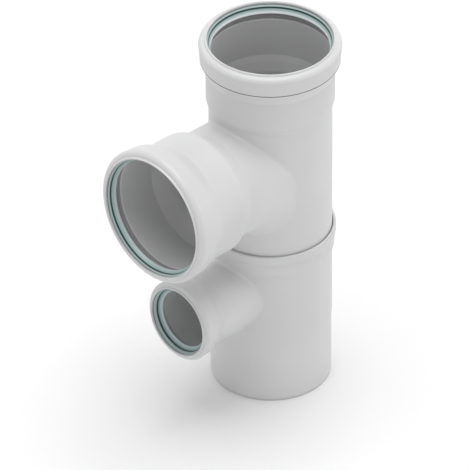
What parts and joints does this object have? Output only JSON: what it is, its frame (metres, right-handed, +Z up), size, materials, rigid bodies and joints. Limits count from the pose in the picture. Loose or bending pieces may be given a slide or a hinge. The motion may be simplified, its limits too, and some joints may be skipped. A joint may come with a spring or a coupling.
{
  "type": "double branch fitting",
  "caption": "Upright drain fitting: a full size push-fit socket on top, a full size and a smaller side socket facing one way, lip seals in each, and a plain spigot below.",
  "frame": {"origin": "centre of the spigot's end face", "axes": "+Z up the main run to the top socket, both side sockets towards +X, rising 2.5 degrees"},
  "size_m": [0.1791, 0.1052, 0.2968],
  "materials": {
    "moulded_body": "fine satin, as moulded",
    "lip_seal": "smooth, soft sheen"
  },
  "bodies": {
    "root": {"upper_branch_body": "moulded_body", "lower_branch_body": "moulded_body", "top_seal": "lip_seal", "large_branch_seal": "lip_seal", "small_branch_seal": "lip_seal"}
  },
  "joints": []
}
